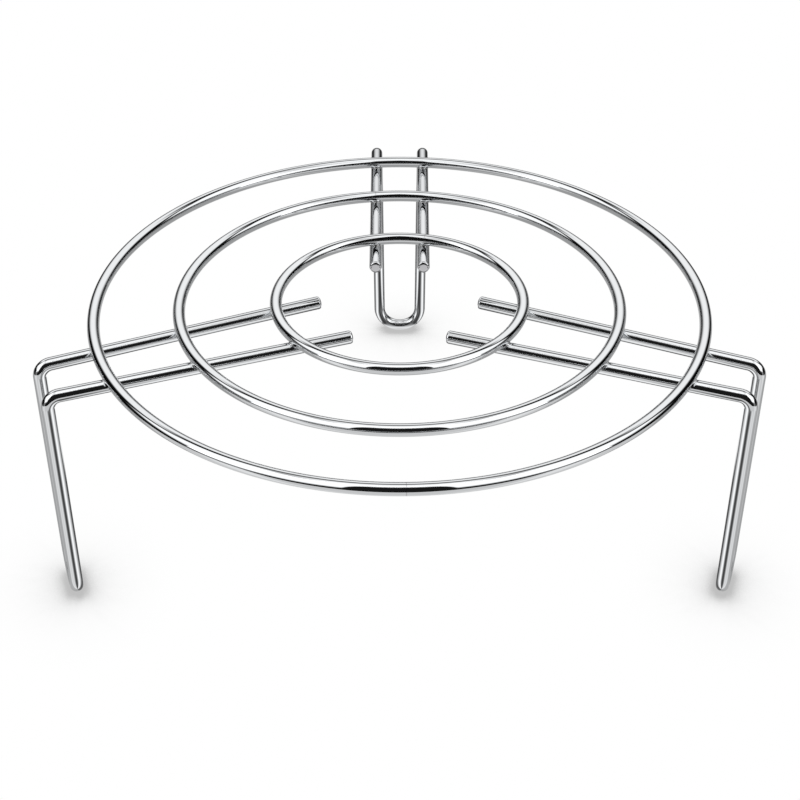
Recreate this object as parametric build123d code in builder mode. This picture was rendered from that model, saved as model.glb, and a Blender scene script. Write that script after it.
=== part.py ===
"""Pot stand of round steel wire: three rings welded on top of three hairpin legs.

The rings are concentric about Z, the feet stand on z = 0 and the rear leg points along +Y.
Each leg is one length of wire: two arms under the rings, two shoulder bends, two uprights
and a U-bend that is the foot. Where a ring crosses an arm, the arm has a shallow saddle
that the ring seats in, because the two wires are pressed together as they are welded.
"""

import os
from math import acos, atan2, cos, hypot, sin

from build123d import *

# Driving dimensions in millimetres and degrees; rings, spacings, reaches and bends are
# measured at the wire's centre line.
ring_wire_diameter = 4.8
leg_wire_diameter = 5.2
outer_ring_diameter = 240.0
middle_ring_diameter = 174.0
inner_ring_diameter = 98.0
stand_height = 107.5
weld_set_down = 0.5
arm_spacing = 21.5
shoulder_bend_radius = 4.5
foot_bend_radius = 10.0
cut_end_rounding = 1.0
rear_leg_bearing = 90.0
front_leg_turn = 111.0

# Reaches from the rings' axis to the arms' inner ends and to the uprights. On a front leg, the
# fore arm is the one nearer the front, and it is a little longer at both ends than the aft arm.
rear_arm_end_reach = 32.0
fore_arm_end_reach = 24.5
aft_arm_end_reach = 28.0
rear_upright_reach = 141.5
fore_upright_reach = 142.6
aft_upright_reach = 141.7

# How much further from the leg's middle line an arm is at its inner end than at its shoulder:
# a front leg's arms fan out under the rings, the rear leg's close in a little.
rear_arm_end_spread = -0.8
fore_arm_end_spread = 1.4
aft_arm_end_spread = 5.4

# Heights of the wires' centre lines
ring_wire_radius = ring_wire_diameter / 2
leg_wire_radius = leg_wire_diameter / 2
ring_level = stand_height - ring_wire_radius
arm_level = ring_level - ring_wire_radius - leg_wire_radius + weld_set_down
foot_bend_level = leg_wire_radius + foot_bend_radius

os.makedirs("parts", exist_ok=True)

# Rings: closed hoops of wire
ring_diameters = {
    "outer_ring": outer_ring_diameter,
    "middle_ring": middle_ring_diameter,
    "inner_ring": inner_ring_diameter,
}
rings = []
for ring_name, ring_diameter in ring_diameters.items():
    with BuildPart() as ring:
        with BuildSketch(Plane.XZ) as ring_section:
            with Locations((ring_diameter / 2, ring_level)):
                Circle(ring_wire_radius)
        revolve(axis=Axis.Z)
    ring.part.label = ring_name
    export_step(ring.part, f"parts/{ring_name}.step")
    rings.append(ring.part)

# Legs: one hairpin of wire at each bearing, drawn in a frame whose x runs out along the arms
# and y across them, with the end reach, end spread and upright reach of the arms at +y and -y
rear_arm = (rear_arm_end_reach, rear_arm_end_spread, rear_upright_reach)
fore_arm = (fore_arm_end_reach, fore_arm_end_spread, fore_upright_reach)
aft_arm = (aft_arm_end_reach, aft_arm_end_spread, aft_upright_reach)
legs = {
    "rear_leg": (rear_leg_bearing, rear_arm, rear_arm),
    "left_leg": (rear_leg_bearing + front_leg_turn, fore_arm, aft_arm),
    "right_leg": (rear_leg_bearing - front_leg_turn, aft_arm, fore_arm),
}
half_spacing = arm_spacing / 2
shoulder_rise = arm_level - foot_bend_level
for leg_name, (leg_bearing, plus_arm, minus_arm) in legs.items():
    # The foot's middle, and how far the +y upright stands out beyond it
    foot_reach = (plus_arm[-1] + minus_arm[-1]) / 2
    half_lead = plus_arm[-1] - foot_reach

    # Where an upright runs into the U-bend: the tangent from the shoulder to the bend's
    # circle, as a share of the way from the foot's middle to the upright
    half_span = hypot(half_spacing, half_lead)
    shoulder_bearing = atan2(shoulder_rise, half_span)
    tangent_bearing = shoulder_bearing - acos(foot_bend_radius / hypot(half_span, shoulder_rise))
    tangent_share = foot_bend_radius * cos(tangent_bearing) / half_span
    tangent_level = foot_bend_level + foot_bend_radius * sin(tangent_bearing)

    with BuildPart() as leg:
        with BuildLine(Plane.XY.rotated((0, 0, leg_bearing))) as leg_path:
            tangent_points = []
            for side, (end_reach, end_spread, upright_reach) in ((1, plus_arm), (-1, minus_arm)):
                tangent_reach = foot_reach + side * half_lead * tangent_share
                tangent_point = (tangent_reach, side * half_spacing * tangent_share, tangent_level)
                FilletPolyline(
                    (end_reach, side * (half_spacing + end_spread), arm_level),
                    (upright_reach, side * half_spacing, arm_level),
                    tangent_point,
                    radius=shoulder_bend_radius,
                )
                tangent_points.append(tangent_point)
            ThreePointArc(tangent_points[0], (foot_reach, 0, leg_wire_radius), tangent_points[1])
        leg_wire = leg_path.wire()
        with BuildSketch(Plane(origin=leg_wire @ 0, z_dir=leg_wire % 0)) as leg_section:
            Circle(leg_wire_radius)
        sweep(path=leg_wire)
        fillet(leg.faces().filter_by(GeomType.PLANE).edges(), radius=cut_end_rounding)
        add(rings, mode=Mode.SUBTRACT)
    leg.part.label = leg_name
    export_step(leg.part, f"parts/{leg_name}.step")
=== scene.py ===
"""Looks of a chromed wire pot stand: three hoops welded on three hairpin legs."""

from math import acos, atan2, cos, hypot, pi, radians, sin

import bpy
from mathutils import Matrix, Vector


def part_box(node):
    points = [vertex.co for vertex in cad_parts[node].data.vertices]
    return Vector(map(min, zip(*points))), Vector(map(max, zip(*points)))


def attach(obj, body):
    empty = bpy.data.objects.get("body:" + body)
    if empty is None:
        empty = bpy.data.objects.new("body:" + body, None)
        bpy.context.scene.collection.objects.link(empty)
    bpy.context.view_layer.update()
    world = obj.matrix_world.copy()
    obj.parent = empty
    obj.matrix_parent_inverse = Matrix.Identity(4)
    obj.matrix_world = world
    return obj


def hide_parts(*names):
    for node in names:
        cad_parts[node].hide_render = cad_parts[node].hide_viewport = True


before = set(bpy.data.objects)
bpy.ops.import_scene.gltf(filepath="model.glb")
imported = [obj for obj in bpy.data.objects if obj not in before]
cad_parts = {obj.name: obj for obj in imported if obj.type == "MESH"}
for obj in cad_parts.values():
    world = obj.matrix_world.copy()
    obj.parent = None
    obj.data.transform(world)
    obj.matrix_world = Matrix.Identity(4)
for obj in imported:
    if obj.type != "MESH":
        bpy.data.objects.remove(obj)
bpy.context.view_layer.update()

# Rings: three hoops of drawn steel wire, each bent round and butt welded where its ends meet.
# They lie across the arms of the legs and carry the pot. The whole stand is polished, nickelled and
# chromed after welding, so every wire has the same bright skin.
RING_BUTT_WELDS = {"outer_ring": -88.9, "middle_ring": 97.1, "inner_ring": 77.3}
RING_STEPS = 288
WIRE_SIDES = 48
CHROME_TINT = (0.60, 0.61, 0.62, 1.0)
CHROME_GLOSS = (0.012, 0.035)
RIPPLE_SIZE = 0.006
RIPPLE_HEIGHT = 0.0000015
BUTT_WELD_WIDTH = 0.0005
BUTT_WELD_TINT = (0.42, 0.42, 0.43, 1.0)
BUTT_WELD_DULLNESS = 0.1
# The drawing die's lines: how fast they change around the wire and along it, and their fineness and contrast
LINES_AROUND = 1400.0
LINES_ALONG = 12.0
LINES_SCALE = 9.0
LINES_DETAIL = 3.0
LINES_CONTRAST = (0.3, 0.7)


def add_node(tree, kind, **settings):
    """A new node in a tree, with its settings."""
    node = tree.nodes.new(kind)
    for name, value in settings.items():
        setattr(node, name, value)
    return node


def chrome_skin():
    """Node group: the roughness and normal of polished plate on drawn wire."""
    group = bpy.data.node_groups.new("chrome_skin", "ShaderNodeTree")
    group.interface.new_socket("Dullness", in_out="INPUT", socket_type="NodeSocketFloat")
    group.interface.new_socket("Roughness", in_out="OUTPUT", socket_type="NodeSocketFloat")
    group.interface.new_socket("Normal", in_out="OUTPUT", socket_type="NodeSocketVector")
    link = group.links.new
    given = group.nodes.new("NodeGroupInput")
    result = group.nodes.new("NodeGroupOutput")

    along_wire = add_node(group, "ShaderNodeAttribute", attribute_name="wire_lines")
    die_lines = add_node(group, "ShaderNodeTexNoise")
    die_lines.inputs["Scale"].default_value = LINES_SCALE
    die_lines.inputs["Detail"].default_value = LINES_DETAIL
    link(along_wire.outputs["Vector"], die_lines.inputs["Vector"])
    gloss = add_node(group, "ShaderNodeMapRange")
    gloss.inputs["From Min"].default_value, gloss.inputs["From Max"].default_value = LINES_CONTRAST
    gloss.inputs["To Min"].default_value, gloss.inputs["To Max"].default_value = CHROME_GLOSS
    link(die_lines.outputs["Fac"], gloss.inputs["Value"])
    dulled = add_node(group, "ShaderNodeMath", operation="ADD")
    link(gloss.outputs["Result"], dulled.inputs[0])
    link(given.outputs["Dullness"], dulled.inputs[1])
    link(dulled.outputs[0], result.inputs["Roughness"])

    place = add_node(group, "ShaderNodeTexCoord")
    ripple = add_node(group, "ShaderNodeTexNoise")
    ripple.inputs["Scale"].default_value = 1 / RIPPLE_SIZE
    ripple.inputs["Detail"].default_value = 1.0
    link(place.outputs["Object"], ripple.inputs["Vector"])
    bump = add_node(group, "ShaderNodeBump")
    bump.inputs["Distance"].default_value = RIPPLE_HEIGHT
    link(ripple.outputs["Fac"], bump.inputs["Height"])
    link(bump.outputs["Normal"], result.inputs["Normal"])
    return group


def chromed(name, mark_width, mark_tint, mark_dullness):
    """Chrome plate with a duller, darker mark at the wire's ends, or at the weld that joins them."""
    material = bpy.data.materials.new(name)
    material.use_nodes = True
    tree = material.node_tree
    link = tree.links.new
    shader = tree.nodes["Principled BSDF"]
    shader.inputs["Metallic"].default_value = 1.0

    from_end = add_node(tree, "ShaderNodeAttribute", attribute_name="from_end")
    mark = add_node(tree, "ShaderNodeMapRange", interpolation_type="SMOOTHSTEP")
    mark.inputs["From Min"].default_value = mark_width / 2
    mark.inputs["From Max"].default_value = mark_width / 6
    link(from_end.outputs["Fac"], mark.inputs["Value"])
    tint = add_node(tree, "ShaderNodeMix", data_type="RGBA")
    tint.inputs["A"].default_value = CHROME_TINT
    tint.inputs["B"].default_value = mark_tint
    link(mark.outputs["Result"], tint.inputs["Factor"])
    link(tint.outputs["Result"], shader.inputs["Base Color"])
    dullness = add_node(tree, "ShaderNodeMath", operation="MULTIPLY")
    dullness.inputs[1].default_value = mark_dullness
    link(mark.outputs["Result"], dullness.inputs[0])

    skin = add_node(tree, "ShaderNodeGroup", node_tree=plate_skin)
    link(dullness.outputs[0], skin.inputs["Dullness"])
    link(skin.outputs["Roughness"], shader.inputs["Roughness"])
    link(skin.outputs["Normal"], shader.inputs["Normal"])
    return material


def new_tree(name, inputs):
    """A geometry tree with a named float input for each size, and its input and output nodes."""
    tree = bpy.data.node_groups.new(name, "GeometryNodeTree")
    tree.interface.new_socket("Geometry", in_out="OUTPUT", socket_type="NodeSocketGeometry")
    for socket_name in inputs:
        tree.interface.new_socket(socket_name, in_out="INPUT", socket_type="NodeSocketFloat")
    return tree, tree.nodes.new("NodeGroupInput").outputs, tree.nodes.new("NodeGroupOutput")


def worked(tree, operation, *values):
    """A math node in a tree; each value is a number or a socket."""
    node = add_node(tree, "ShaderNodeMath", operation=operation)
    for socket, value in zip(node.inputs, values):
        if isinstance(value, (int, float)):
            socket.default_value = value
        else:
            tree.links.new(value, socket)
    return node.outputs[0]


def point(tree, x=0, y=0, z=0):
    """A vector in a tree; each part is a number or a socket."""
    node = add_node(tree, "ShaderNodeCombineXYZ")
    for socket, value in zip(node.inputs, (x, y, z)):
        if isinstance(value, (int, float)):
            socket.default_value = value
        else:
            tree.links.new(value, socket)
    return node.outputs[0]


def sweep_wire(tree, path, wire_diameter, closed):
    """Sweeps round wire along a curve. Keeps two attributes for the finish: wire_lines, which runs
    slowly along the wire and fast around it, and from_end, the distance to the nearer end."""
    link = tree.links.new
    spline = add_node(tree, "GeometryNodeSplineParameter")
    whole = add_node(tree, "GeometryNodeSplineLength")
    to_other_end = worked(tree, "SUBTRACT", whole.outputs["Length"], spline.outputs["Length"])
    kept = add_node(tree, "GeometryNodeCaptureAttribute", domain="POINT")
    kept.capture_items.new("FLOAT", "Length")
    kept.capture_items.new("FLOAT", "From End")
    link(path, kept.inputs["Geometry"])
    link(spline.outputs["Length"], kept.inputs["Length"])
    link(worked(tree, "MINIMUM", spline.outputs["Length"], to_other_end), kept.inputs["From End"])

    section = add_node(tree, "GeometryNodeCurvePrimitiveCircle", mode="RADIUS")
    section.inputs["Resolution"].default_value = WIRE_SIDES
    link(worked(tree, "MULTIPLY", wire_diameter, 0.5), section.inputs["Radius"])
    section_place = add_node(tree, "GeometryNodeInputPosition")
    around = add_node(tree, "GeometryNodeCaptureAttribute", domain="POINT")
    around.capture_items.new("VECTOR", "Around")
    link(section.outputs["Curve"], around.inputs["Geometry"])
    link(section_place.outputs["Position"], around.inputs["Around"])

    wire = add_node(tree, "GeometryNodeCurveToMesh")
    wire.inputs["Fill Caps"].default_value = not closed
    link(kept.outputs["Geometry"], wire.inputs["Curve"])
    link(around.outputs["Geometry"], wire.inputs["Profile Curve"])

    fast = add_node(tree, "ShaderNodeVectorMath", operation="SCALE")
    fast.inputs["Scale"].default_value = LINES_AROUND
    link(around.outputs["Around"], fast.inputs[0])
    lines = add_node(tree, "ShaderNodeVectorMath", operation="ADD")
    link(fast.outputs[0], lines.inputs[0])
    slow = worked(tree, "MULTIPLY", kept.outputs["Length"], LINES_ALONG)
    link(point(tree, z=slow), lines.inputs[1])
    lined = add_node(tree, "GeometryNodeStoreNamedAttribute", data_type="FLOAT_VECTOR", domain="POINT")
    lined.inputs["Name"].default_value = "wire_lines"
    link(wire.outputs["Mesh"], lined.inputs["Geometry"])
    link(lines.outputs[0], lined.inputs["Value"])
    ended = add_node(tree, "GeometryNodeStoreNamedAttribute", data_type="FLOAT", domain="POINT")
    ended.inputs["Name"].default_value = "from_end"
    link(lined.outputs["Geometry"], ended.inputs["Geometry"])
    link(kept.outputs["From End"], ended.inputs["Value"])
    smooth = add_node(tree, "GeometryNodeSetShadeSmooth")
    link(ended.outputs["Geometry"], smooth.inputs["Geometry"])
    return smooth.outputs["Geometry"]


def set_in_place(tree, geometry, move, turn, material, out):
    """Ends a tree: moves and turns what it made, makes it plain geometry and gives it its finish."""
    link = tree.links.new
    placed = add_node(tree, "GeometryNodeTransform")
    link(geometry, placed.inputs["Geometry"])
    link(move, placed.inputs["Translation"])
    link(turn, placed.inputs["Rotation"])
    plain = add_node(tree, "GeometryNodeRealizeInstances")
    link(placed.outputs["Geometry"], plain.inputs["Geometry"])
    finish = add_node(tree, "GeometryNodeSetMaterial")
    finish.inputs["Material"].default_value = material
    link(plain.outputs["Geometry"], finish.inputs["Geometry"])
    link(finish.outputs["Geometry"], out.inputs["Geometry"])


def made_by(tree, name, sizes, finishing=None):
    """The plain mesh that a tree makes with these sizes, as an object on the stand."""
    piece = bpy.data.objects.new(name, bpy.data.meshes.new(name))
    bpy.context.scene.collection.objects.link(piece)
    maker = piece.modifiers.new("maker", "NODES")
    maker.node_group = tree
    for socket in tree.interface.items_tree:
        if socket.in_out == "INPUT":
            maker[socket.identifier] = sizes[socket.name]
    if finishing:
        finishing(piece)
    depsgraph = bpy.context.evaluated_depsgraph_get()
    mesh = bpy.data.meshes.new_from_object(
        piece.evaluated_get(depsgraph), preserve_all_data_layers=True, depsgraph=depsgraph
    )
    piece.modifiers.clear()
    piece.data = mesh
    mesh.name = name
    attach(piece, "root")
    return piece


plate_skin = chrome_skin()
ring_chrome = chromed("ring_chrome", BUTT_WELD_WIDTH, BUTT_WELD_TINT, BUTT_WELD_DULLNESS)

ring_tree, ring_size, ring_out = new_tree(
    "hoop_of_wire", ("Ring Diameter", "Wire Diameter", "Ring Level", "Butt Weld Bearing")
)
hoop = add_node(ring_tree, "GeometryNodeCurvePrimitiveCircle", mode="RADIUS")
hoop.inputs["Resolution"].default_value = RING_STEPS
ring_tree.links.new(worked(ring_tree, "MULTIPLY", ring_size["Ring Diameter"], 0.5), hoop.inputs["Radius"])
set_in_place(
    ring_tree,
    sweep_wire(ring_tree, hoop.outputs["Curve"], ring_size["Wire Diameter"], closed=True),
    point(ring_tree, z=ring_size["Ring Level"]),
    point(ring_tree, z=ring_size["Butt Weld Bearing"]),
    ring_chrome,
    ring_out,
)

ring_diameters = {}
rings = {}
for ring_name, weld_bearing in RING_BUTT_WELDS.items():
    ring_low, ring_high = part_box(ring_name)
    ring_wire = ring_high.z - ring_low.z
    ring_level = (ring_high.z + ring_low.z) / 2
    ring_diameters[ring_name] = ring_high.x - ring_low.x - ring_wire
    ring = made_by(
        ring_tree,
        ring_name + "_wire",
        {
            "Ring Diameter": ring_diameters[ring_name],
            "Wire Diameter": ring_wire,
            "Ring Level": ring_level,
            "Butt Weld Bearing": radians(weld_bearing),
        },
    )
    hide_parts(ring_name)
    rings[ring_name] = ring

# Legs: three hairpins, each one length of slightly thicker wire. Two arms run under the rings, bend
# down at the shoulders and meet in the U-bend that stands on the floor. The arms' ends are cut off
# square and tumbled round; on a front leg the fore arm is a little longer, and the arms fan out inwards.
LEG_WIRE = 0.0052
SHOULDER_BEND_RADIUS = 0.0045
FOOT_BEND_RADIUS = 0.0100
# Just short of the full radius, so that the foot's two bends don't meet in one point
FOOT_BEND_SHARE = 0.999
CUT_END_ROUNDING = 0.0010
CUT_END_STEPS = 5
CUT_END_SHARPEST = 60
CUT_END_WIDTH = 0.0004
CUT_END_TINT = (0.45, 0.45, 0.46, 1.0)
CUT_END_DULLNESS = 0.12
HALF_ARM_SPACING = 0.01075
BEND_STEPS = 24
REAR_ARM = {"end": 0.0320, "spread": -0.0008, "upright": 0.1415}
FORE_ARM = {"end": 0.0245, "spread": 0.0014, "upright": 0.1426}
AFT_ARM = {"end": 0.0280, "spread": 0.0054, "upright": 0.1417}
LEGS = {
    "rear_leg": (90.0, REAR_ARM, REAR_ARM),
    "left_leg": (201.0, FORE_ARM, AFT_ARM),
    "right_leg": (-21.0, AFT_ARM, FORE_ARM),
}

leg_chrome = chromed("leg_chrome", CUT_END_WIDTH, CUT_END_TINT, CUT_END_DULLNESS)
arm_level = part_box("rear_leg")[1].z - LEG_WIRE / 2

leg_tree, leg_size, leg_out = new_tree(
    "hairpin_of_wire",
    (
        "Wire Diameter",
        "Arm Level",
        "Half Arm Spacing",
        "Plus End Reach",
        "Plus End Spread",
        "Plus Upright Reach",
        "Minus Upright Reach",
        "Minus End Spread",
        "Minus End Reach",
        "Foot Narrowing",
        "Shoulder Bend Radius",
        "Foot Bend Radius",
        "Bearing",
    ),
)
link = leg_tree.links.new
plus_upright, minus_upright = leg_size["Plus Upright Reach"], leg_size["Minus Upright Reach"]
foot_level = worked(leg_tree, "MULTIPLY", leg_size["Wire Diameter"], 0.5)
foot_reach = worked(leg_tree, "MULTIPLY", worked(leg_tree, "ADD", plus_upright, minus_upright), 0.5)
plus_side = leg_size["Half Arm Spacing"]
minus_side = worked(leg_tree, "MULTIPLY", plus_side, -1.0)
plus_end_side = worked(leg_tree, "ADD", plus_side, leg_size["Plus End Spread"])
minus_end_side = worked(leg_tree, "SUBTRACT", minus_side, leg_size["Minus End Spread"])


def foot_corner(upright, side):
    """The corner of the hairpin under an upright, drawn in towards the middle of the foot."""
    lead = worked(leg_tree, "SUBTRACT", upright, foot_reach)
    lead = worked(leg_tree, "MULTIPLY", lead, leg_size["Foot Narrowing"])
    aside = worked(leg_tree, "MULTIPLY", side, leg_size["Foot Narrowing"])
    return point(leg_tree, worked(leg_tree, "ADD", foot_reach, lead), aside, foot_level)


corners = (
    (point(leg_tree, leg_size["Plus End Reach"], plus_end_side, leg_size["Arm Level"]), None),
    (point(leg_tree, plus_upright, plus_side, leg_size["Arm Level"]), "Shoulder Bend Radius"),
    (foot_corner(plus_upright, plus_side), "Foot Bend Radius"),
    (foot_corner(minus_upright, minus_side), "Foot Bend Radius"),
    (point(leg_tree, minus_upright, minus_side, leg_size["Arm Level"]), "Shoulder Bend Radius"),
    (point(leg_tree, leg_size["Minus End Reach"], minus_end_side, leg_size["Arm Level"]), None),
)
corner_number = add_node(leg_tree, "GeometryNodeInputIndex")
corner_places = add_node(leg_tree, "GeometryNodeIndexSwitch", data_type="VECTOR")
corner_bends = add_node(leg_tree, "GeometryNodeIndexSwitch", data_type="FLOAT")
for switch in (corner_places, corner_bends):
    link(corner_number.outputs["Index"], switch.inputs["Index"])
    while len(switch.index_switch_items) < len(corners):
        switch.index_switch_items.new()
for number, (place, bend) in enumerate(corners, start=1):
    link(place, corner_places.inputs[number])
    if bend:
        link(leg_size[bend], corner_bends.inputs[number])
straight = add_node(leg_tree, "GeometryNodeMeshLine")
straight.inputs["Count"].default_value = len(corners)
folded = add_node(leg_tree, "GeometryNodeSetPosition")
link(straight.outputs["Mesh"], folded.inputs["Geometry"])
link(corner_places.outputs["Output"], folded.inputs["Position"])
hairpin = add_node(leg_tree, "GeometryNodeMeshToCurve")
link(folded.outputs["Geometry"], hairpin.inputs["Mesh"])
bends = add_node(leg_tree, "GeometryNodeFilletCurve", mode="POLY")
bends.inputs["Count"].default_value = BEND_STEPS
link(hairpin.outputs["Curve"], bends.inputs["Curve"])
link(corner_bends.outputs["Output"], bends.inputs["Radius"])
set_in_place(
    leg_tree,
    sweep_wire(leg_tree, bends.outputs["Curve"], leg_size["Wire Diameter"], closed=False),
    point(leg_tree),
    point(leg_tree, z=leg_size["Bearing"]),
    leg_chrome,
    leg_out,
)


def tumble_cut_ends(leg):
    """Rounds the edges of a wire's cut ends."""
    rounding = leg.modifiers.new("cut_ends", "BEVEL")
    rounding.width = CUT_END_ROUNDING
    rounding.segments = CUT_END_STEPS
    rounding.limit_method = "ANGLE"
    rounding.angle_limit = radians(CUT_END_SHARPEST)


legs = []
for leg_name, (bearing, plus_arm, minus_arm) in LEGS.items():
    # The uprights lean in a little, along tangents from the shoulders to the U-bend's circle
    half_span = hypot(HALF_ARM_SPACING, (plus_arm["upright"] - minus_arm["upright"]) / 2)
    shoulder_rise = arm_level - LEG_WIRE / 2 - FOOT_BEND_RADIUS
    tangent = atan2(shoulder_rise, half_span) - acos(FOOT_BEND_RADIUS / hypot(half_span, shoulder_rise))
    half_foot = FOOT_BEND_RADIUS * cos(tangent) / (1 + sin(tangent))
    leg = made_by(
        leg_tree,
        leg_name + "_wire",
        {
            "Wire Diameter": LEG_WIRE,
            "Arm Level": arm_level,
            "Half Arm Spacing": HALF_ARM_SPACING,
            "Plus End Reach": plus_arm["end"],
            "Plus End Spread": plus_arm["spread"],
            "Plus Upright Reach": plus_arm["upright"],
            "Minus Upright Reach": minus_arm["upright"],
            "Minus End Spread": minus_arm["spread"],
            "Minus End Reach": minus_arm["end"],
            "Foot Narrowing": half_foot / half_span,
            "Shoulder Bend Radius": SHOULDER_BEND_RADIUS,
            "Foot Bend Radius": FOOT_BEND_RADIUS * FOOT_BEND_SHARE,
            "Bearing": radians(bearing),
        },
        tumble_cut_ends,
    )
    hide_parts(leg_name)
    legs.append(leg)

# Welds: at each of the 18 crossings the wires are pressed together hot, and a thin lip of metal is
# squeezed out round the joint. It rides up the ring along the arm and dips under it across the arm.
WELD_HALF_LENGTH = 0.0023
WELD_HALF_HEIGHT = 0.0006
WELD_SADDLE = 0.00035
WELD_TINT = (0.5, 0.5, 0.5, 1.0)
WELD_DULLNESS = 0.05
WELDS_ON_ARM = len(RING_BUTT_WELDS)
WELDS_ON_LEG = 2 * WELDS_ON_ARM
LIP_SEGMENTS = 32
LIP_RINGS = 16
CROSSING_TURNS = 3

# A lip has no distance to a wire's end, which reads as 0, so the mark covers it whole
weld_chrome = chromed("weld_chrome", WELD_HALF_LENGTH, WELD_TINT, WELD_DULLNESS)
weld_tree, weld_size, weld_out = new_tree(
    "weld_lips",
    (
        "Outer Ring Diameter",
        "Middle Ring Diameter",
        "Inner Ring Diameter",
        "Half Arm Spacing",
        "Plus End Reach",
        "Plus End Spread",
        "Plus Upright Reach",
        "Minus End Reach",
        "Minus End Spread",
        "Minus Upright Reach",
        "Weld Level",
        "Half Length",
        "Half Height",
        "Saddle",
        "Bearing",
    ),
)
link = weld_tree.links.new
weld_number = add_node(weld_tree, "GeometryNodeInputIndex").outputs["Index"]
ring_number = worked(weld_tree, "MODULO", weld_number, WELDS_ON_ARM)
arm_number = worked(weld_tree, "FLOOR", worked(weld_tree, "DIVIDE", weld_number, WELDS_ON_ARM))


def chosen(number, *names):
    """The size that a number picks out of some inputs."""
    switch = add_node(weld_tree, "GeometryNodeIndexSwitch", data_type="FLOAT")
    while len(switch.index_switch_items) < len(names):
        switch.index_switch_items.new()
    link(number, switch.inputs["Index"])
    for socket, name in zip(list(switch.inputs)[1:], names):
        link(weld_size[name], socket)
    return switch.outputs["Output"]


ring_diameter = chosen(ring_number, "Outer Ring Diameter", "Middle Ring Diameter", "Inner Ring Diameter")
ring_radius = worked(weld_tree, "MULTIPLY", ring_diameter, 0.5)
arm_end = chosen(arm_number, "Plus End Reach", "Minus End Reach")
arm_spread = chosen(arm_number, "Plus End Spread", "Minus End Spread")
arm_upright = chosen(arm_number, "Plus Upright Reach", "Minus Upright Reach")
arm_length = worked(weld_tree, "SUBTRACT", arm_upright, arm_end)
# Where the arm passes under the ring: each turn of the loop brings the crossing closer
weld_reach = ring_radius
for _ in range(CROSSING_TURNS):
    to_shoulder = worked(weld_tree, "SUBTRACT", arm_upright, weld_reach)
    from_shoulder = worked(weld_tree, "DIVIDE", to_shoulder, arm_length)
    aside = worked(weld_tree, "MULTIPLY_ADD", arm_spread, from_shoulder, weld_size["Half Arm Spacing"])
    weld_angle = worked(weld_tree, "ARCSINE", worked(weld_tree, "DIVIDE", aside, ring_radius))
    weld_reach = worked(weld_tree, "MULTIPLY", ring_radius, worked(weld_tree, "COSINE", weld_angle))
side = worked(weld_tree, "MULTIPLY_ADD", arm_number, -2.0, 1.0)
crossings = add_node(weld_tree, "GeometryNodePoints")
crossings.inputs["Count"].default_value = WELDS_ON_LEG
link(
    point(weld_tree, weld_reach, worked(weld_tree, "MULTIPLY", side, aside), weld_size["Weld Level"]),
    crossings.inputs["Position"],
)
ball = add_node(weld_tree, "GeometryNodeMeshUVSphere")
ball.inputs["Segments"].default_value = LIP_SEGMENTS
ball.inputs["Rings"].default_value = LIP_RINGS
ball.inputs["Radius"].default_value = 1.0
place = add_node(weld_tree, "GeometryNodeInputPosition")
parts = add_node(weld_tree, "ShaderNodeSeparateXYZ")
link(place.outputs["Position"], parts.inputs[0])
along = worked(weld_tree, "MULTIPLY", parts.outputs["X"], parts.outputs["X"])
across = worked(weld_tree, "MULTIPLY", parts.outputs["Y"], parts.outputs["Y"])
rise = worked(weld_tree, "MULTIPLY", worked(weld_tree, "SUBTRACT", along, across), weld_size["Saddle"])
lip = add_node(weld_tree, "GeometryNodeSetPosition")
link(ball.outputs["Mesh"], lip.inputs["Geometry"])
link(
    point(
        weld_tree,
        worked(weld_tree, "MULTIPLY", parts.outputs["X"], weld_size["Half Length"]),
        worked(weld_tree, "MULTIPLY", parts.outputs["Y"], weld_size["Half Length"]),
        worked(weld_tree, "MULTIPLY_ADD", parts.outputs["Z"], weld_size["Half Height"], rise),
    ),
    lip.inputs["Position"],
)
smooth_lip = add_node(weld_tree, "GeometryNodeSetShadeSmooth")
link(lip.outputs["Geometry"], smooth_lip.inputs["Geometry"])
lips = add_node(weld_tree, "GeometryNodeInstanceOnPoints")
link(crossings.outputs[0], lips.inputs["Points"])
link(smooth_lip.outputs["Geometry"], lips.inputs["Instance"])
set_in_place(
    weld_tree,
    lips.outputs["Instances"],
    point(weld_tree),
    point(weld_tree, z=weld_size["Bearing"]),
    weld_chrome,
    weld_out,
)

welds = []
for leg_name, (bearing, plus_arm, minus_arm) in LEGS.items():
    lips_on_leg = made_by(
        weld_tree,
        leg_name + "_welds",
        {
            "Outer Ring Diameter": ring_diameters["outer_ring"],
            "Middle Ring Diameter": ring_diameters["middle_ring"],
            "Inner Ring Diameter": ring_diameters["inner_ring"],
            "Half Arm Spacing": HALF_ARM_SPACING,
            "Plus End Reach": plus_arm["end"],
            "Plus End Spread": plus_arm["spread"],
            "Plus Upright Reach": plus_arm["upright"],
            "Minus End Reach": minus_arm["end"],
            "Minus End Spread": minus_arm["spread"],
            "Minus Upright Reach": minus_arm["upright"],
            "Weld Level": (arm_level + LEG_WIRE / 2 + ring_level - ring_wire / 2) / 2,
            "Half Length": WELD_HALF_LENGTH,
            "Half Height": WELD_HALF_HEIGHT,
            "Saddle": WELD_SADDLE,
            "Bearing": radians(bearing),
        },
    )
    welds.append(lips_on_leg)

# Floor: plain white paper that fills the picture. It glows evenly, and painted shade darkens its glow round
# the feet, where the wires cover it, as their contact shadow.
# The chrome sees the studio floors in its place.
FLOOR_HALF_SIZE = 6.0
PAINTED_TOUCH_SHADE = 3.7
TOUCH_GATHER = 1.8
TOUCH_DARKEST = 0.48
TOUCH_REACH = 0.04
TOUCH_ROUNDING = 0.2
TOUCH_SAMPLES = 16


def sheet(name, material, corners):
    """A flat sheet of the stage."""
    mesh = bpy.data.meshes.new(name)
    mesh.from_pydata(corners, [], [tuple(range(len(corners)))])
    mesh.materials.append(material)
    stage_sheet = bpy.data.objects.new(name, mesh)
    bpy.context.scene.collection.objects.link(stage_sheet)
    return stage_sheet


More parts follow.
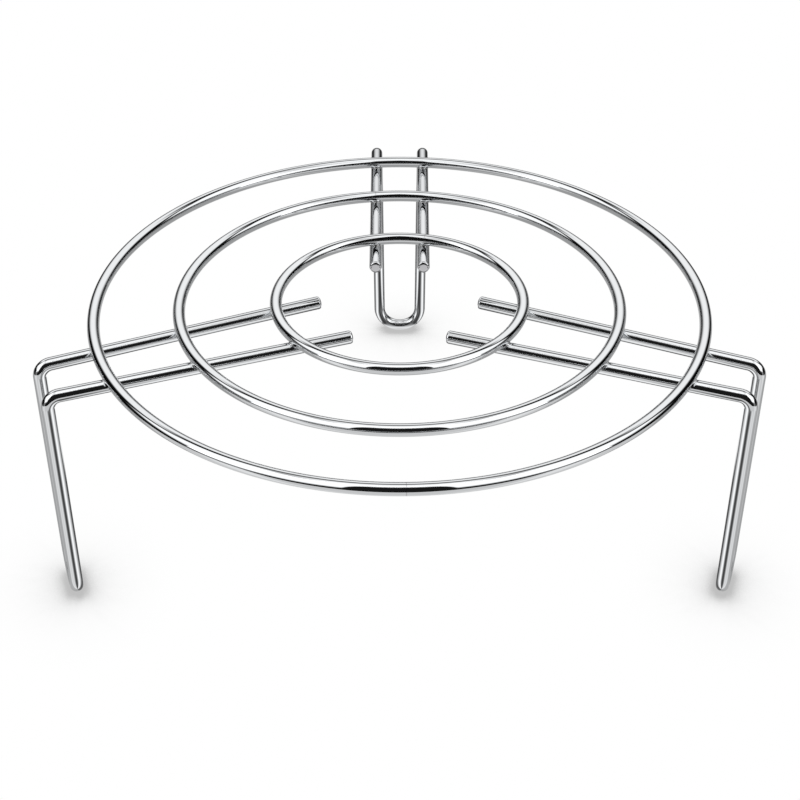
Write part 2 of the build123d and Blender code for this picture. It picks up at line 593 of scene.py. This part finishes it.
def level_corners(half_width, half_depth, level):
    """The corners of a level sheet about the stand's axis."""
    return [(x * half_width, y * half_depth, level) for x, y in ((-1, -1), (1, -1), (1, 1), (-1, 1))]


def glow_material(name):
    """A material that only glows, and its tree and the socket for how much."""
    material = bpy.data.materials.new(name)
    material.use_nodes = True
    material.cycles.emission_sampling = "NONE"
    tree = material.node_tree
    tree.nodes.clear()
    glow = add_node(tree, "ShaderNodeEmission")
    out = add_node(tree, "ShaderNodeOutputMaterial")
    tree.links.new(glow.outputs[0], out.inputs["Surface"])
    return material, tree, glow.inputs["Strength"]


paper, paper_tree, paper_glow = glow_material("floor_paper")
# Painted shade: the paper's glow drops by how much of the nearby sky the stand's wires cover, standing in
# for the feet's contact shadow
open_sky = add_node(paper_tree, "ShaderNodeAmbientOcclusion", samples=TOUCH_SAMPLES)
open_sky.inputs["Distance"].default_value = TOUCH_REACH
covered = worked(paper_tree, "SUBTRACT", 1.0, open_sky.outputs["AO"])
shade = worked(paper_tree, "MULTIPLY", worked(paper_tree, "POWER", covered, TOUCH_GATHER), PAINTED_TOUCH_SHADE)
shade = worked(paper_tree, "SMOOTH_MIN", shade, TOUCH_DARKEST, TOUCH_ROUNDING)
paper_tree.links.new(worked(paper_tree, "SUBTRACT", 1.0, shade), paper_glow)
floor = sheet("floor", paper, level_corners(FLOOR_HALF_SIZE, FLOOR_HALF_SIZE, 0.0))
floor.visible_glossy = False

# Front cloths: white cloth close in front of the stand that only the chrome sees, with a dark gap in the
# middle. The gap has another width in each ring and in the legs, so each of them has a cloth of its own,
# whose glow light linking shows to it alone.
FRONT_GLOW = 1.7
FRONT_PLACE = -0.32
FRONT_HALF_WIDTH = 0.8
FRONT_FOOT = 0.08
FRONT_TOP = 1.4
TOP_DIMMING = 0.4
GAP_GLOW = 0.01
GAP_TOP_GLOW = 0.27
GAP_CROWN_GLOW = 0.6
GAP_SOFT = 0.004
# Edges as heights, from where a change is nothing to where it is full
FOOT_EDGE = (0.12, 0.22)
TOP_EDGE = (0.65, 0.95)
GAP_TOP_EDGE = (0.48, 0.62)
GAP_CROWN_EDGE = (0.65, 0.95)
# Sheets are a little apart, because a ray meets only one of two sheets in the same place
SHEET_SPACING = 0.001
# Each cloth's name, the pieces that see it and half the width of its gap
CLOTHS = (
    ("outer_ring_cloth", [rings["outer_ring"]], 0.086),
    ("middle_ring_cloth", [rings["middle_ring"]], 0.115),
    ("inner_ring_cloth", [rings["inner_ring"]], 0.155),
    ("leg_cloth", legs + welds, 0.33),
)


def only_in_mirrors(stage_sheet):
    """Keeps a sheet of the stage out of the picture itself and out of the shading."""
    stage_sheet.visible_camera = False
    stage_sheet.visible_diffuse = False
    stage_sheet.visible_transmission = False
    stage_sheet.visible_shadow = False


def only_mirrored_by(stage_sheet, pieces):
    """Shows the glow of a sheet of the stage to these pieces alone."""
    only_in_mirrors(stage_sheet)
    viewers = bpy.data.collections.new(stage_sheet.name + "_viewers")
    for piece in pieces:
        viewers.objects.link(piece)
    stage_sheet.light_linking.receiver_collection = viewers


def see_through(tree):
    """Lets what is behind a glowing sheet show through it, because only some pieces see its glow."""
    glow = tree.nodes["Emission"]
    clear = add_node(tree, "ShaderNodeBsdfTransparent")
    both = add_node(tree, "ShaderNodeAddShader")
    tree.links.new(glow.outputs[0], both.inputs[0])
    tree.links.new(clear.outputs[0], both.inputs[1])
    tree.links.new(both.outputs[0], tree.nodes["Material Output"].inputs["Surface"])


def sheet_place(tree):
    """Where a point of a sheet is."""
    place = add_node(tree, "ShaderNodeNewGeometry")
    here = add_node(tree, "ShaderNodeSeparateXYZ")
    tree.links.new(place.outputs["Position"], here.inputs[0])
    return here.outputs


def rising(tree, value, low, high):
    """Goes smoothly from 0 to 1 between two values."""
    node = add_node(tree, "ShaderNodeMapRange", interpolation_type="SMOOTHSTEP")
    node.inputs["From Min"].default_value = low
    node.inputs["From Max"].default_value = high
    tree.links.new(value, node.inputs["Value"])
    return node.outputs["Result"]


for number, (cloth_name, pieces, half_gap) in enumerate(CLOTHS):
    cloth_glow, cloth_tree, cloth_strength = glow_material(cloth_name)
    see_through(cloth_tree)
    here = sheet_place(cloth_tree)
    beside = worked(cloth_tree, "SUBTRACT", worked(cloth_tree, "ABSOLUTE", here["X"]), half_gap)
    cloth = worked(cloth_tree, "MULTIPLY", rising(cloth_tree, beside, -GAP_SOFT, GAP_SOFT), FRONT_GLOW)
    dimmed = worked(cloth_tree, "MULTIPLY", rising(cloth_tree, here["Z"], *TOP_EDGE), -TOP_DIMMING)
    cloth = worked(cloth_tree, "MULTIPLY", worked(cloth_tree, "ADD", dimmed, 1.0), cloth)
    cloth = worked(cloth_tree, "MULTIPLY", rising(cloth_tree, here["Z"], *FOOT_EDGE), cloth)
    gap_top = worked(cloth_tree, "MULTIPLY", rising(cloth_tree, here["Z"], *GAP_TOP_EDGE), GAP_TOP_GLOW)
    gap_crown = rising(cloth_tree, here["Z"], *GAP_CROWN_EDGE)
    gap_top = worked(cloth_tree, "MULTIPLY_ADD", gap_crown, GAP_CROWN_GLOW, gap_top)
    in_gap = worked(cloth_tree, "ADD", gap_top, GAP_GLOW)
    cloth_tree.links.new(worked(cloth_tree, "MAXIMUM", cloth, in_gap), cloth_strength)
    cloth_place = FRONT_PLACE - number * SHEET_SPACING
    cloth_corners = [
        (-FRONT_HALF_WIDTH, cloth_place, FRONT_FOOT),
        (FRONT_HALF_WIDTH, cloth_place, FRONT_FOOT),
        (FRONT_HALF_WIDTH, cloth_place, FRONT_TOP),
        (-FRONT_HALF_WIDTH, cloth_place, FRONT_TOP),
    ]
    only_mirrored_by(sheet(cloth_name, cloth_glow, cloth_corners), pieces)

# Dark card: stands over the middle of the stand and hides the lower part of the cloths from the rings' rear.
# It is peaked, so that the dark line that it makes on them is thickest in the middle, and it is clear from
# its other side.
CARD_FOOT = 0.1085
# Half widths of the card and their heights, from the bottom up
CARD_EDGE = ((0.070, 0.125), (0.032, 0.163), (0.0176, 0.200))
CARD_PEAK = 0.32

card_dark, card_tree, card_strength = glow_material("dark_card")
card_strength.default_value = GAP_GLOW
card_clear = add_node(card_tree, "ShaderNodeBsdfTransparent")
card_side = add_node(card_tree, "ShaderNodeNewGeometry")
card_sides = add_node(card_tree, "ShaderNodeMixShader")
card_tree.links.new(card_side.outputs["Backfacing"], card_sides.inputs["Fac"])
card_tree.links.new(card_tree.nodes["Emission"].outputs[0], card_sides.inputs[1])
card_tree.links.new(card_clear.outputs[0], card_sides.inputs[2])
card_tree.links.new(card_sides.outputs[0], card_tree.nodes["Material Output"].inputs["Surface"])
card_corners = [(CARD_EDGE[0][0], 0.0, CARD_FOOT), (-CARD_EDGE[0][0], 0.0, CARD_FOOT)]
card_corners += [(-x, 0.0, z) for x, z in CARD_EDGE]
card_corners.append((0.0, 0.0, CARD_PEAK))
card_corners += [(x, 0.0, z) for x, z in reversed(CARD_EDGE)]
only_in_mirrors(sheet("dark_card", card_dark, card_corners))

# Studio floors: what the chrome sees below, grey and lighter in front, ending in a dark line before the
# walls. The legs' own floor has dark and light sectors round the front legs' fore uprights and the rear
# leg's uprights, which mirror them as bands.
FLOOR_REACH = (0.54, 0.46)
FLOOR_GLOW = 0.5
FRONT_FLOOR_GLOW = 0.9
BRIGHTEST_SECTOR = 1.6
# Where the lighter front begins, in Y, and where the sectors do, as a distance from the upright
FRONT_FLOOR_EDGE = (-0.03, -0.08)
SECTOR_EDGE = (0.16, 0.13)
# Sectors by the angle from straight ahead towards the stand's middle, in degrees, and their glow
FRONT_SECTORS = (
    (-180, 0.4),
    (-74, 0.65),
    (-18, 1.2),
    (6, 0.1),
    (32, 0.08),
    (66, 1.5),
    (82, 1.25),
    (121, 0.1),
    (180, 0.1),
)
REAR_SECTORS = (
    (-180, 0.2),
    (-94, 0.28),
    (-66, 1.25),
    (-43, 1.5),
    (-6, 0.08),
    (18, 0.07),
    (60, 1.3),
    (120, 0.1),
    (180, 0.05),
)


def upright_place(leg_name, arm):
    """Where the upright on the minus side of a leg stands."""
    bearing = radians(LEGS[leg_name][0])
    x = arm["upright"] * cos(bearing) + HALF_ARM_SPACING * sin(bearing)
    y = arm["upright"] * sin(bearing) - HALF_ARM_SPACING * cos(bearing)
    return x, y


def curved(tree, value, points, low, high, tallest):
    """A value put through a curve, drawn by points between two ends."""
    node = add_node(tree, "ShaderNodeFloatCurve")
    curve = node.mapping.curves[0]
    for place, level in points[1:-1]:
        curve.points.new((place - low) / (high - low), level / tallest)
    curve.points[0].location = (0.0, points[0][1] / tallest)
    curve.points[-1].location = (1.0, points[-1][1] / tallest)
    for curve_point in curve.points:
        curve_point.handle_type = "VECTOR"
    node.mapping.update()
    share = worked(tree, "DIVIDE", worked(tree, "SUBTRACT", value, low), high - low)
    tree.links.new(share, node.inputs["Value"])
    return worked(tree, "MULTIPLY", node.outputs["Value"], tallest)


def studio_floor(name, pieces, level, uprights):
    """A floor that some pieces see, with sectors round uprights, the same on the left as on the right."""
    floor_glow, tree, strength = glow_material(name)
    see_through(tree)
    here = sheet_place(tree)
    in_front = rising(tree, here["Y"], *FRONT_FLOOR_EDGE)
    light = worked(tree, "MULTIPLY_ADD", in_front, FRONT_FLOOR_GLOW - FLOOR_GLOW, FLOOR_GLOW)
    aside = worked(tree, "ABSOLUTE", here["X"])
    for (upright_x, upright_y), sectors in uprights:
        inward = worked(tree, "SUBTRACT", upright_x, aside)
        ahead = worked(tree, "SUBTRACT", upright_y, here["Y"])
        look = worked(tree, "MULTIPLY", worked(tree, "ARCTAN2", inward, ahead), 180 / pi)
        sector = curved(tree, look, sectors, -180, 180, BRIGHTEST_SECTOR)
        away = worked(tree, "ADD", worked(tree, "POWER", inward, 2.0), worked(tree, "POWER", ahead, 2.0))
        own = rising(tree, worked(tree, "SQRT", away), *SECTOR_EDGE)
        change = worked(tree, "MULTIPLY", worked(tree, "SUBTRACT", sector, light), own)
        light = worked(tree, "ADD", light, change)
    tree.links.new(light, strength)
    only_mirrored_by(sheet(name, floor_glow, level_corners(*FLOOR_REACH, level)), pieces)


studio_floor("ring_studio_floor", list(rings.values()), -SHEET_SPACING, ())
mirroring_uprights = (
    (upright_place("right_leg", FORE_ARM), FRONT_SECTORS),
    (upright_place("rear_leg", REAR_ARM), REAR_SECTORS),
)
studio_floor("leg_studio_floor", legs + welds, 0.0, mirroring_uprights)

# Room: the rest of what the chrome sees, far off: two white walls at the sides, a white panel at the back,
# grey above it and white overhead, with dark seams between and a dark line all round at floor level.
WALL_GLOW = 1.65
PANEL_GLOW = 1.4
OVERHEAD_GLOW = 1.6
BACK_GREY = 0.40
FRONT_GREY = 0.85
SEAM_GLOW = 0.005
SIDE_SEAM_GLOW = 0.3
BACK_SEAM_GLOW = 0.1
# Edges as angles in degrees, from where a glow is nothing to where it is full. Feet and tops are heights
# above the horizon, and starts and ends are turns away from the front.
WALL_START = (60, 66)
WALL_END = (107, 100)
WALL_FOOT = (4, 21)
WALL_TOP = (76, 65)
PANEL_START = (112, 123)
PANEL_FOOT = (5, 31)
PANEL_TOP = (54, 45)
OVERHEAD_FOOT = (62, 80)
BACK_GREY_FOOT = (59, 65)
FRONT_GREY_FOOT = (57, 68)
FRONT_GREY_END = (100, 60)
SIDE_SEAM_START = (42, 54)
SIDE_SEAM_END = (78, 62)
BACK_SEAM_START = (150, 165)
# Slants of edges: the angle that a slant starts from, and how much it shifts the edge for each degree
WALL_END_SLANT = (45, 1.0)
WALL_FOOT_SLANT = (60, 0.2)
PANEL_FOOT_SLANT = (141.0, 0.75)

world = bpy.data.worlds.new("room")
bpy.context.scene.world = world
world.use_nodes = True
room = world.node_tree
room.nodes.clear()
link = room.links.new
ray_way = add_node(room, "ShaderNodeTexCoord")
way = add_node(room, "ShaderNodeSeparateXYZ")
link(ray_way.outputs["Generated"], way.inputs[0])
# The height above the horizon and the turn away from the front, in degrees. The photograph was taken from
# the front.
height = worked(room, "MULTIPLY", worked(room, "ARCSINE", way.outputs["Z"]), 180 / pi)
towards_front = worked(room, "MULTIPLY", way.outputs["Y"], -1.0)
turn = worked(room, "MULTIPLY", worked(room, "ARCTAN2", way.outputs["X"], towards_front), 180 / pi)
turn = worked(room, "ABSOLUTE", turn)


def slanted(value, past, share):
    """A value less a share of what is past a slant's start."""
    shift = worked(room, "MULTIPLY", worked(room, "MAXIMUM", past, 0.0), share)
    return worked(room, "SUBTRACT", value, shift)


def together(glow, *masks):
    """A glow where all masks allow it."""
    for mask in masks:
        glow = worked(room, "MULTIPLY", mask, glow)
    return glow


above_wall_slant = worked(room, "SUBTRACT", height, WALL_END_SLANT[0])
past_wall_slant = worked(room, "SUBTRACT", turn, WALL_FOOT_SLANT[0])
before_panel_slant = worked(room, "SUBTRACT", PANEL_FOOT_SLANT[0], turn)
walls = together(
    WALL_GLOW,
    rising(room, turn, *WALL_START),
    rising(room, slanted(turn, above_wall_slant, WALL_END_SLANT[1]), *WALL_END),
    rising(room, slanted(height, past_wall_slant, WALL_FOOT_SLANT[1]), *WALL_FOOT),
    rising(room, height, *WALL_TOP),
)
panel = together(
    PANEL_GLOW,
    rising(room, turn, *PANEL_START),
    rising(room, slanted(height, before_panel_slant, PANEL_FOOT_SLANT[1]), *PANEL_FOOT),
    rising(room, height, *PANEL_TOP),
)
overhead = together(OVERHEAD_GLOW, rising(room, height, *OVERHEAD_FOOT))
back_grey = together(BACK_GREY, rising(room, height, *BACK_GREY_FOOT))
front_grey = together(
    FRONT_GREY, rising(room, height, *FRONT_GREY_FOOT), rising(room, turn, *FRONT_GREY_END)
)
side_seam = together(
    SIDE_SEAM_GLOW, rising(room, turn, *SIDE_SEAM_START), rising(room, turn, *SIDE_SEAM_END)
)
back_seam = together(BACK_SEAM_GLOW, rising(room, turn, *BACK_SEAM_START))
light = worked(room, "ADD", side_seam, worked(room, "ADD", back_seam, SEAM_GLOW))
for layer in (walls, panel, overhead, back_grey, front_grey):
    light = worked(room, "MAXIMUM", light, layer)
# Past the floor's edge, a picture shows the same white paper and not the room
in_picture = add_node(room, "ShaderNodeLightPath").outputs["Is Camera Ray"]
light = worked(room, "MULTIPLY_ADD", worked(room, "SUBTRACT", 1.0, light), in_picture, light)
glow = add_node(room, "ShaderNodeBackground")
glow.inputs["Color"].default_value = (1.0, 1.0, 1.0, 1.0)
link(light, glow.inputs["Strength"])
room_out = add_node(room, "ShaderNodeOutputWorld")
link(glow.outputs["Background"], room_out.inputs["Surface"])
bpy.context.scene.view_settings.view_transform = "Standard"

# Camera: where the photograph was taken from, with the same field of view, both as fitted to the rings,
# arms, shoulders and feet in it.
SENSOR_WIDTH = 36.0
LENS = 69.161
NEAREST_SEEN = 0.01
CAMERA_PLACE = (0.000182, -0.519951, 0.42657)
CAMERA_TILT = 54.529

camera_data = bpy.data.cameras.new("camera")
camera_data.sensor_width = SENSOR_WIDTH
camera_data.lens = LENS
camera_data.clip_start = NEAREST_SEEN
camera = bpy.data.objects.new("camera", camera_data)
bpy.context.scene.collection.objects.link(camera)
camera.location = CAMERA_PLACE
camera.rotation_euler = (radians(CAMERA_TILT), 0.0, 0.0)
bpy.context.scene.camera = camera
